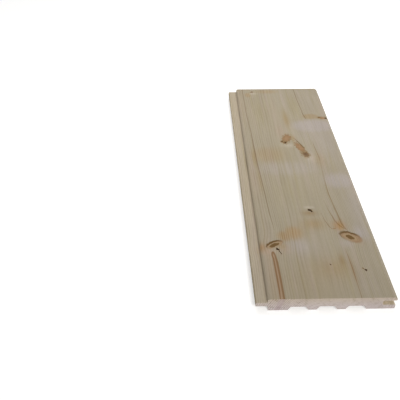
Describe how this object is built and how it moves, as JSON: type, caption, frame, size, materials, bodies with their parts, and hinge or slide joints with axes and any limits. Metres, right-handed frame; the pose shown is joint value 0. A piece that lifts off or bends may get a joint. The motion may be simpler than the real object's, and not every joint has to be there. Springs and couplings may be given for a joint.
{
  "type": "tongue and groove board",
  "caption": "Planed softwood board with a tongue along one edge, a groove along the other, eased face arrises and flat-roofed relief channels along its back.",
  "frame": {"origin": "under the middle of the outline, on the plane that the lands of the back rest on", "axes": "+Z out of the face, Y along the board, +X from the tongue to the groove"},
  "size_m": [0.153, 0.47, 0.018],
  "materials": {
    "softwood": "planed, unfinished knotty spruce"
  },
  "bodies": {
    "root": {"board": "softwood"}
  },
  "joints": []
}
